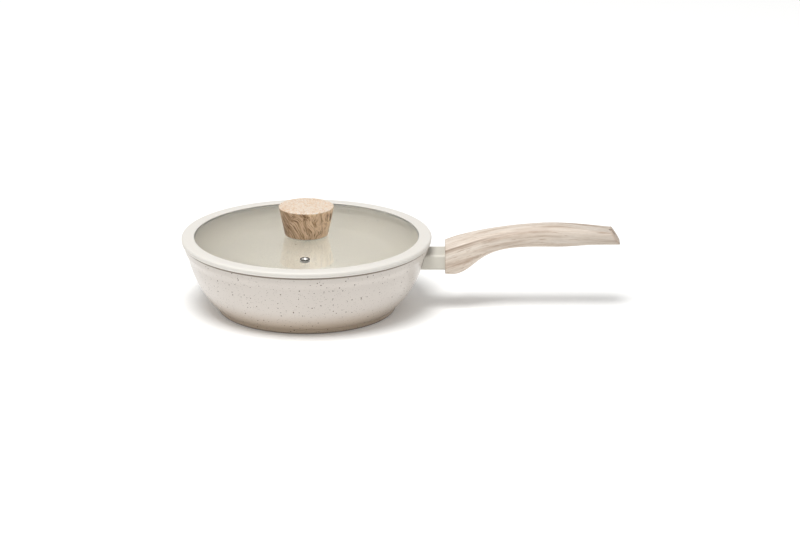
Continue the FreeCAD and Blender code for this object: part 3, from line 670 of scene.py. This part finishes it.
class PAN_OT_grip(Operator):
    """Make the moulded grip"""

    bl_idname = "lidded_pan.grip"
    bl_label = "Grip"

    def execute(self, context):
        look = context.scene.handle_look
        rounding = look.front_edge
        end_x, end_z, slope = TAIL_END
        middle = (end_z + GRIP_STATIONS[-1, 2]) / 2
        last = end_x + (end_z - middle) / math.tan(slope) - END_GAP
        along = np.linspace(GRIP_LOW.x + rounding, last, GRIP_RINGS)
        top, bottom, width, upper, lower = (spline(GRIP_STATIONS[:, 0], column, along)
                                            for column in GRIP_STATIONS.T[1:])
        half = width / 2
        y, z = rounded_sections(top, bottom, half, upper, lower, 16, 18)
        above = np.clip((z - (top + bottom)[:, None] / 2) / ((top - bottom)[:, None] / 2), 0, 1)
        z = z - CROWN * above * (y / half[:, None]) ** 2
        flat_x, flat_z, fall = TAIL_FLAT
        plane = flat_z - (along - flat_x) * math.tan(fall)
        cut = soft_min(z, plane[:, None], FLAT_BLEND)
        z = np.where(z > (bottom + FLAT_REACH)[:, None], cut, z)
        lean = np.clip((along - LEAN_FROM) / (last - LEAN_FROM), 0, 1) ** 2 / math.tan(slope)
        x = along[:, None] + (middle - z) * lean[:, None]
        grid = capped(np.stack([x, y, z], -1), (-1, 0, 0), END_NORMAL, rounding, 14)
        grip = surface("grip", grid)
        self.open_grip(grip)
        finish_piece(grip, "pan", "grip_wood_print", self.material(look), "handle_grip")
        return {"FINISHED"}

    def open_grip(self, grip):
        """Cut the neck's socket, the bolt's bore, the driver's access and the hanging hole."""
        y, z = rounded_sections(GUARD_HIGH.z + SOCKET_GAP, GUARD_LOW.z - SOCKET_GAP,
                                GUARD_HIGH.y + SOCKET_GAP, NECK_CORNER, NECK_CORNER, 8, 4)
        x = np.array([[GRIP_LOW.x - 5 * MM], [GUARD_HIGH.x + SOCKET_GAP]])
        socket = surface("socket", np.stack(np.broadcast_arrays(x, y, z), -1))

        bolt_level = Matrix.Translation((0, 0, (GUARD_LOW.z + GUARD_HIGH.z) / 2))
        bolt_axis = bolt_level @ Matrix.Rotation(math.pi / 2, 4, "Y")
        bore = drill(BOLT_BORE[0], GRIP_LOW.x, GRIP_LOW.x + BOLT_BORE[1], bolt_axis)
        sleeve_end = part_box("grip_sleeve")[1].x
        access = drill(DRIVER_ACCESS[0], sleeve_end, sleeve_end + DRIVER_ACCESS[1], bolt_axis)
        centre, _, dims = mount("hanging_hole")
        reach = dims["length_mm"] * MM
        hole = drill(dims["r_mm"] * MM, -reach, reach, Matrix.Translation(centre))
        carve(grip, socket, bore, access, hole)

    def material(self, look):
        """Soft-touch phenolic under a printed film of bleached oak: pale matt ground, long grey-brown
        figure and short dark pores that run with the grip. Painted shade darkens the sides and, most of
        all, the end; the print darkens towards the tail; and a painted crease shade runs along the upper
        edge at the root."""
        material, tree, place = new_material("Bleached oak print on phenolic")
        axes = add(tree, "SeparateXYZ", (place,)).outputs
        to_root = add(tree, "MapRange", (axes["X"], GRAIN_TURN, GRIP_LOW.x))
        fall = add(tree, "Math", (to_root, GRAIN_CURVE), operation="POWER")
        level = add(tree, "Math", (fall, GRAIN_FALL, axes["Z"]), operation="MULTIPLY_ADD")
        laid = add(tree, "CombineXYZ", {"X": axes["X"], "Y": axes["Y"], "Z": level})
        long_grain = add(tree, "Mapping", {"Vector": laid, "Scale": (0.07, 1, 1)})
        warp = add(tree, "TexNoise", {"Vector": long_grain, "Scale": per_mm(16)})
        push = add(tree, "VectorMath", {0: warp.outputs["Color"], 3: 9 * MM}, operation="SCALE")
        flow = add(tree, "VectorMath", (long_grain, push))
        figure = add(tree, "TexNoise", {"Vector": flow, "Scale": per_mm(5), "Detail": 5, "Roughness": 0.62})
        ground = add(tree, "ValToRGB", {"Fac": figure}, stops=[
            (0.30, look.dark), (0.66, look.pale), (0.47, look.middle)])
        fine = add(tree, "TexNoise", {"Vector": flow, "Scale": per_mm(0.9), "Detail": 3, "Roughness": 0.7})
        fine_tone = add(tree, "MapRange", (fine, 0.35, 0.68, 0.88, 1.05))
        tone = mix(tree, 1.0, ground, fine_tone, "MULTIPLY")
        pore_place = add(tree, "Mapping", {"Vector": laid, "Scale": (0.13, 1, 1)})
        pores = add(tree, "TexNoise", {"Vector": pore_place, "Scale": per_mm(1.5)})
        dark = add(tree, "MapRange", (pores, 0.60, 0.70))
        faint = add(tree, "Math", (dark, 0.75), operation="MULTIPLY")
        tone = mix(tree, faint, tone, rgba(look.dark))
        # Painted shade: the print darkens from the top to the sides.
        side_shade = add(tree, "MapRange", (level, *SIDE_SHADE_BAND, 0.97, 0.93), interpolation_type="SMOOTHSTEP")
        tail = add(tree, "MapRange", (axes["X"], TAIL_FROM, GRIP_HIGH.x, 1.09, 0.85))
        for shade in (side_shade, tail):
            tone = mix(tree, 1.0, tone, shade, "MULTIPLY")
        # Painted crease shade: a dark line along the upper edge near the root.
        off_crease = add(tree, "Math", (level, CREASE_SHADE_LEVEL), operation="SUBTRACT")
        off_crease = add(tree, "Math", (off_crease,), operation="ABSOLUTE")
        line = add(tree, "MapRange", (off_crease, *CREASE_SHADE_EDGE))
        near = add(tree, "MapRange", (axes["X"], *CREASE_SHADE_SPAN, 0, 0.8))
        line = add(tree, "Math", (line, near), operation="MULTIPLY")
        tone = mix(tree, line, tone, rgba(look.dark, 0.75))
        # Painted shade on the end face.
        out = add(tree, "VectorMath", (place, END_NORMAL), operation="DOT_PRODUCT").outputs["Value"]
        end_face = TAIL_END[0] * END_NORMAL[0] + TAIL_END[1] * END_NORMAL[2]
        cut = add(tree, "MapRange", (out, end_face - END_SHADE_BAND[0], end_face - END_SHADE_BAND[1], 0, 0.6))
        tone = mix(tree, cut, tone, rgba(look.dark))
        return finished(material, {
            "Base Color": tone, "Roughness": 0.52,
            "Normal": bump(tree, fine, 0.03)})


# ------ lid

# The glass in millimetres: thickness, then radii of its bore, level middle, dome's edge and outer edge;
# the dome's own radius, and how far the edge is below the middle.
GLASS_THICK, GLASS_BORE, GLASS_MIDDLE, DOME_EDGE, GLASS_RADIUS = 4.0, 4.2, 24, 110.5, 118.4
DOME_RADIUS, DOME_FALL = 4155.0, 1.4
VENT_HOLE = 3.6


class PAN_OT_glass(Operator):
    """Make the tempered glass of the lid"""

    bl_idname = "lidded_pan.glass"
    bl_label = "Glass"

    def execute(self, context):
        top = GLASS_HIGH.z / MM
        edge = top - DOME_FALL
        under, edge_under = top - GLASS_THICK, edge - GLASS_THICK
        profile = outline([
            (GLASS_BORE, under, 0.3), (GLASS_MIDDLE, under, 2), (DOME_EDGE, edge_under, 2, -DOME_RADIUS),
            (GLASS_RADIUS, edge_under, 0.6), (GLASS_RADIUS, edge, 0.6), (DOME_EDGE, edge, 2),
            (GLASS_MIDDLE, top, 2, DOME_RADIUS), (GLASS_BORE, top, 0.3)], spacing=2.5)
        glass = turned("tempered_glass", profile, GLASS_STEPS, closed=True)
        carve(glass, drill(VENT_HOLE * MM, -GLASS_THICK * MM * 2, GLASS_THICK * MM * 2, vent_place()))
        finish_piece(glass, "lid", "lid_glass", self.material(context.scene.lid_look), "lid_glass")
        return {"FINISHED"}

    def material(self, look):
        """Tempered soda-lime glass: clear, a trace green in its thickness, with a faint roll wave."""
        material, tree, place = new_material("Tempered glass")
        wave = add(tree, "TexNoise", {"Vector": place, "Scale": per_mm(60), "Detail": 1})
        cast = mix(tree, wave, rgba(look.glass), rgba(look.glass, 0.985))
        return finished(material, {
            "Base Color": cast, "Roughness": 0.0, "IOR": 1.5,
            "Transmission Weight": 1.0, "Alpha": 0.72,
            "Normal": bump(tree, wave, 0.03)})


class PAN_OT_ring(Operator):
    """Make the silicone ring of the lid"""

    bl_idname = "lidded_pan.ring"
    bl_label = "Silicone ring"

    def execute(self, context):
        top, seat, low = RING_HIGH.z / MM, PAN_HIGH.z / MM, RING_LOW.z / MM
        outer = RING_HIGH.x / MM
        # From the groove that holds the glass, down and out round the plug, and up the flank to the top.
        profile = outline([
            (112.0, 73.75, 0.3), (118.45, 73.75, 0.1), (118.45, 69.65, 0.1), (111.2, 69.65, 0.3),
            (112.9, 68.0, 0.5), (112.9, low, 0.5), (116.2, low, 0.4), (116.9, low + 0.7, 0.4),
            (117.6, seat + 0.05, 0.3), (120.0, seat + 0.05, 0.1), (120.5, seat + 0.4, 0.2),
            (outer - 0.7, seat + 0.4, 0.2), (outer - 0.5, seat + 1.0, 0.3), (outer - 0.8, 70.9, 0.4),
            (outer - 0.05, 72.2, 0.6), (123.2, top - 0.3, 0.8, 2.5), (112.6, top, 0.5),
            (112.0, top - 0.5, 0.3)], spacing=0.8)
        ring = turned("silicone_ring", profile, FINE_STEPS, closed=True)
        finish_piece(ring, "lid", "silicone", self.material(context.scene.lid_look), "lid_ring")
        return {"FINISHED"}

    def material(self, look):
        """Moulded silicone: matt and slightly soft-looking, with the mould's fine texture."""
        tones = rgba(look.silicone), rgba(look.silicone, 0.96)
        depths = (1.2 * MM, 1.0 * MM, 0.8 * MM)
        return cloudy_finish("Moulded silicone", tones, 20, (0.8, 2), (0.48, 0.6), 0.01, {
            "Subsurface Weight": 0.08, "Subsurface Radius": depths, "Subsurface Scale": 1.0})


# The knob in millimetres: radii of its top, its foot and the bore for the insert, and the bore's end.
KNOB_TOP, KNOB_FOOT, KNOB_BORE, KNOB_BORE_END = 27.7, 21.5, 4.0, 91.6
# From left to right across this, painted light makes the veins paler and the ground brighter, with painted
# shade on the left.
KNOB_LIGHT_SPAN = (-20 * MM, 20 * MM)
# The veins fall to one side from the first place on, and most at the second.
FALL_SPAN = (10 * MM, -18 * MM)
# Depths under the flat top over which the side's print turns to the top's paler print, which is partly
# painted light.
KNOB_EDGE = (1.5 * MM, 0.5 * MM)


class PAN_OT_knob(Operator):
    """Make the knob of the lid"""

    bl_idname = "lidded_pan.knob"
    bl_label = "Knob"

    def execute(self, context):
        low, high = KNOB_LOW.z / MM, KNOB_HIGH.z / MM
        profile = outline([
            (0, KNOB_BORE_END), (KNOB_BORE, KNOB_BORE_END), (KNOB_BORE, low, 0.4), (KNOB_FOOT, low, 0.8),
            (KNOB_TOP, high, 1.5), (0, high)], spacing=0.7, closed=False)
        knob = turned("knob", profile, FINE_STEPS)
        finish_piece(knob, "lid", "knob_wood_print", self.material(context.scene.lid_look), "knob_body")
        return {"FINISHED"}

    def material(self, look):
        """Phenolic under a printed film of olive wood: fine dark veins that fall across one side of the
        knob and stand upright on the other, on a warm ground, and tight curls on its flat top, which is
        paler as print and as painted light. Painted light makes the right side lighter and painted shade
        the left darker."""
        material, tree, place = new_material("Olive wood print on phenolic")
        axes = add(tree, "SeparateXYZ", (place,)).outputs
        middle = (KNOB_LOW.z + KNOB_HIGH.z) / 2
        across = add(tree, "Math", (axes["Y"], -0.5, axes["X"]), operation="MULTIPLY_ADD")
        rise = add(tree, "Math", (axes["Z"], middle), operation="SUBTRACT")
        slant = add(tree, "MapRange", (axes["X"], *FALL_SPAN, 0, 1.1), interpolation_type="SMOOTHSTEP")
        fallen = add(tree, "Math", (rise, slant, across), operation="MULTIPLY_ADD")
        laid = add(tree, "CombineXYZ", {"X": fallen, "Y": axes["Y"], "Z": axes["Z"]})
        burl = add(tree, "TexNoise", {"Vector": place, "Scale": per_mm(14), "Detail": 1.5,
                                      "Roughness": 0.4})
        push = add(tree, "VectorMath", {0: burl.outputs["Color"], 3: 12 * MM}, operation="SCALE")
        flow = add(tree, "VectorMath", (laid, push))
        veins = [self.veins(tree, flow, *kind) for kind in ((0.75, 0.05, 2), (2.0, 0.04, 1))]
        streaks = add(tree, "Math", (veins[1], 0.45), operation="MULTIPLY")
        streaks = add(tree, "Math", (veins[0], 0.55, streaks), operation="MULTIPLY_ADD")
        # Painted light on the right side and painted shade on the left: paler veins and a brighter ground
        # to the right.
        paler, cast = (add(tree, "MapRange", (axes["X"], *KNOB_LIGHT_SPAN, left, right))
                       for left, right in ((-0.035, 0.045), (0.88, 1.18)))
        streaks = add(tree, "Math", (streaks, paler))
        ground = add(tree, "ValToRGB", {"Fac": streaks}, stops=[
            (0.37, look.knob_dark), (0.57, look.knob_pale), (0.46, look.knob_middle)])
        side = mix(tree, 1.0, ground, cast, "MULTIPLY")
        curls = add(tree, "TexNoise", {"Vector": place, "Scale": per_mm(3.4), "Detail": 3, "Roughness": 0.6,
                                       "Distortion": 3.0})
        flat_top = add(tree, "ValToRGB", {"Fac": curls}, stops=[
            (0.41, look.knob_middle), (0.55, look.knob_top_print_and_light), (0.465, look.knob_pale)])
        # The flat top's paler tone: print and painted light.
        end = add(tree, "MapRange", (axes["Z"], KNOB_HIGH.z - KNOB_EDGE[0], KNOB_HIGH.z - KNOB_EDGE[1]))
        tone = mix(tree, end, side, flat_top)
        return finished(material, {
            "Base Color": tone, "Roughness": 0.44,
            "Normal": bump(tree, streaks, 0.04)})

    def veins(self, tree, place, width_mm, stretch, detail):
        """Streaks along Z: noise of a width across X, drawn out along Z by one over the stretch."""
        drawn = add(tree, "Mapping", {"Vector": place, "Scale": (1, 0.3, stretch)})
        return add(tree, "TexNoise", {"Vector": drawn, "Scale": per_mm(width_mm), "Detail": detail,
                                      "Roughness": 0.6})


# From the middle of the vent's bore, where its mount is, up to the glass.
MIDDLE_TO_GLASS = 2.3 * MM
# Radii, and depths under the glass, over which the eyelet turns from bright steel to a painted dark
# reflection.
DARK_REFLECTION_RADII, DARK_REFLECTION_DEPTHS = (3.5 * MM, 3.8 * MM), (1.0 * MM, 0.0)


def vent_place():
    """Place on the dome at the vent, with Z along the glass's normal, from the frame's mount."""
    middle, axis, _ = mount("steam_vent")
    turn = axis.to_track_quat("Z", "Y").to_matrix().to_4x4()
    return Matrix.Translation(middle + axis * MIDDLE_TO_GLASS) @ turn


class PAN_OT_vent(Operator):
    """Make the steam vent's eyelet"""

    bl_idname = "lidded_pan.vent"
    bl_label = "Steam vent"

    def execute(self, context):
        profile = outline([
            (2.5, -5.4, 0.3), (4.2, -5.4, 0.4), (4.2, -4.65, 0.3), (3.1, -4.6, 0.1), (3.1, 0.45, 0.1),
            (4.9, 0.5, 0.25), (4.75, 1.4, 0.35), (4.2, 1.4, 0.2), (2.5, -0.6, 0.4)], spacing=0.3)
        eyelet = turned("vent_ferrule", profile, VENT_STEPS, closed=True, place=vent_place())
        finish_piece(eyelet, "lid", "vent_steel", self.material(), "vent_eyelet")
        return {"FINISHED"}

    def material(self):
        """Pressed stainless steel, bright at its bore and painted dark outside as a dark reflection."""
        material, tree, place = new_material("Pressed stainless steel")
        centre = vent_place().translation
        to_axis = (-centre.x, -centre.y, 0)
        level = add(tree, "VectorMath", (place, (1, 1, 0), to_axis), operation="MULTIPLY_ADD")
        radius = add(tree, "VectorMath", (level,), operation="LENGTH").outputs["Value"]
        outside = add(tree, "MapRange", (radius, *DARK_REFLECTION_RADII))
        height = add(tree, "SeparateXYZ", (place,)).outputs["Z"]
        above = add(tree, "MapRange", (height, centre.z - DARK_REFLECTION_DEPTHS[0], centre.z - DARK_REFLECTION_DEPTHS[1]))
        # Painted dark reflection on the outside of the eyelet.
        dark = add(tree, "Math", (outside, above), operation="MULTIPLY")
        marks = add(tree, "TexNoise", {"Vector": place, "Scale": per_mm(1.5), "Detail": 4})
        rough = add(tree, "MapRange", (marks, 0, 1, 0.2, 0.36))
        tone = mix(tree, dark, rgba("#efebe5"), rgba("#1a1613"))
        return finished(material, {
            "Base Color": tone, "Metallic": 1.0, "Roughness": rough,
            "Normal": bump(tree, marks, 0.01)})


# ------ small parts


class PAN_OT_small_parts(Operator):
    """Finish the fasteners, washers, seals and the boss"""

    bl_idname = "lidded_pan.small_parts"
    bl_label = "Small parts"

    def execute(self, context):
        for name, light, dark, grain_mm, rough, metallic, depth_mm, nodes in (
            # Grey-blue and slightly cloudy.
            ("Zinc-plated steel", "#d4d4d3", "#bcbdbe", 1.2, (0.26, 0.42), 1.0, 0.01,
             ("grip_sleeve", "handle_bolt", "handle_washer", "handle_spring_washer",
              "knob_washer", "knob_spring_washer", "knob_screw", "vent_plate")),
            # Warm yellow, dulled by handling.
            ("Turned brass", "#d3b072", "#b08c4e", 1.0, (0.26, 0.42), 1.0, 0.01, ("knob_insert",)),
            # Pale grey with a coarse skin.
            ("As-cast aluminium", "#c8c9ca", "#a9abad", 0.7, (0.42, 0.58), 1.0, 0.05, ("handle_boss",)),
            # Translucent, matt and milky.
            ("Seal silicone", "#e2dfd8", "#d2cfc7", 2.0, (0.42, 0.58), 0.0, 0.01,
             ("knob_seal_upper", "knob_seal_lower", "vent_seal")),
        ):
            tones = rgba(light), rgba(dark)
            material = cloudy_finish(name, tones, grain_mm, (grain_mm, 4), rough, depth_mm,
                                     {"Metallic": metallic})
            for node in nodes:
                assign(node, material)
        return {"FINISHED"}


# ------ studio

CAMERA_AIM = Vector((0.0932, 0.0, 0.04165))
CAMERA_HEIGHT_ANGLE = math.radians(17.75)
CAMERA_DISTANCE = 4.0
FLOOR_SIZE = 9.0
# A hair above the face that the pan stands on, so that the two never coincide.
FLOOR_LEVEL = 0.05 * MM


class PAN_OT_stage(Operator):
    """Make the floor, the lights and the camera"""

    bl_idname = "lidded_pan.stage"
    bl_label = "Stage"

    def execute(self, context):
        look = context.scene.stage_look
        self.floor(look)
        self.lights(context, look)
        self.camera(context)
        context.scene.view_settings.view_transform = "Standard"
        return {"FINISHED"}

    def floor(self, look):
        """Studio paper on a light table: smooth, near white, faintly fibrous and faintly glowing."""
        material, tree, place = new_material("Studio paper")
        fibre = add(tree, "TexNoise", {"Vector": place, "Scale": per_mm(3), "Detail": 3})
        tone = mix(tree, fibre, rgba(look.paper), rgba(look.paper, 0.99))
        finished(material, {"Base Color": tone, "Roughness": 0.9, "Specular IOR Level": 0.1,
                            "Emission Color": rgba(look.paper), "Emission Strength": look.glow})
        half = FLOOR_SIZE / 2
        mesh = bpy.data.meshes.new("paper")
        corners = [(x * half, y * half, FLOOR_LEVEL) for x, y in ((-1, -1), (1, -1), (1, 1), (-1, 1))]
        mesh.from_pydata(corners, [], [(0, 1, 2, 3)])
        mesh.materials.append(material)
        paper = in_scene("paper", mesh)

    def lights(self, context, look):
        """A white surround, a high softbox overhead and a weak one at the left."""
        world = bpy.data.worlds.new("Surround")
        context.scene.world = world
        world.use_nodes = True
        background = world.node_tree.nodes["Background"]
        background.inputs["Color"].default_value = (1, 1, 1, 1)
        background.inputs["Strength"].default_value = look.surround
        for name, place, size, power in (
            ("overhead", (-0.4, -1.25, 4.0), 2.1, look.light),
            ("side", (-2.0, -0.6, 0.7), 0.8, look.light * 0.01),
        ):
            data = bpy.data.lights.new(name, "AREA")
            data.shape = "DISK"
            data.size = size
            data.energy = power
            light = in_scene(name, data)
            light.location = place
            light.rotation_euler = (CAMERA_AIM - Vector(place)).to_track_quat("-Z", "Y").to_euler()

    def camera(self, context):
        """A long lens, a little above the rim."""
        data = bpy.data.cameras.new("camera")
        data.sensor_width = 36
        data.lens = 180
        data.clip_end = 50
        camera = in_scene("camera", data)
        back = Vector((0, -math.cos(CAMERA_HEIGHT_ANGLE), math.sin(CAMERA_HEIGHT_ANGLE)))
        camera.location = CAMERA_AIM + CAMERA_DISTANCE * back
        camera.rotation_euler = (-back).to_track_quat("-Z", "Y").to_euler()
        context.scene.camera = camera


# ------ add-on


class VIEW3D_PT_lidded_pan(Panel):
    """Sizes, colours and steps of the lidded pan"""

    bl_label = "Lidded Pan"
    bl_space_type = "VIEW_3D"
    bl_region_type = "UI"
    bl_category = "Lidded Pan"

    def draw(self, context):
        for name, steps in GROUPS.items():
            section = self.layout.box()
            look = getattr(context.scene, name)
            for key in look.__annotations__:
                section.prop(look, key)
            for step in steps:
                section.operator(step.bl_idname)


LOOKS = {"pan_look": PanLook, "handle_look": HandleLook, "lid_look": LidLook, "stage_look": StageLook}
GROUPS = {
    "pan_look": [PAN_OT_shell, PAN_OT_neck, PAN_OT_base],
    "handle_look": [PAN_OT_grip],
    "lid_look": [PAN_OT_glass, PAN_OT_ring, PAN_OT_knob, PAN_OT_vent, PAN_OT_small_parts],
    "stage_look": [PAN_OT_stage],
}
STEPS = [step for steps in GROUPS.values() for step in steps]


def register():
    for kind in [*LOOKS.values(), *STEPS, VIEW3D_PT_lidded_pan]:
        bpy.utils.register_class(kind)
    for name, kind in LOOKS.items():
        setattr(bpy.types.Scene, name, PointerProperty(type=kind))


def unregister():
    for name in LOOKS:
        delattr(bpy.types.Scene, name)
    for kind in [VIEW3D_PT_lidded_pan, *reversed(STEPS), *LOOKS.values()]:
        bpy.utils.unregister_class(kind)


def main():
    """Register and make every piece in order."""
    register()
    for step in STEPS:
        getattr(bpy.ops.lidded_pan, step.bl_idname.split(".")[1])()


if __name__ == "__main__":
    main()
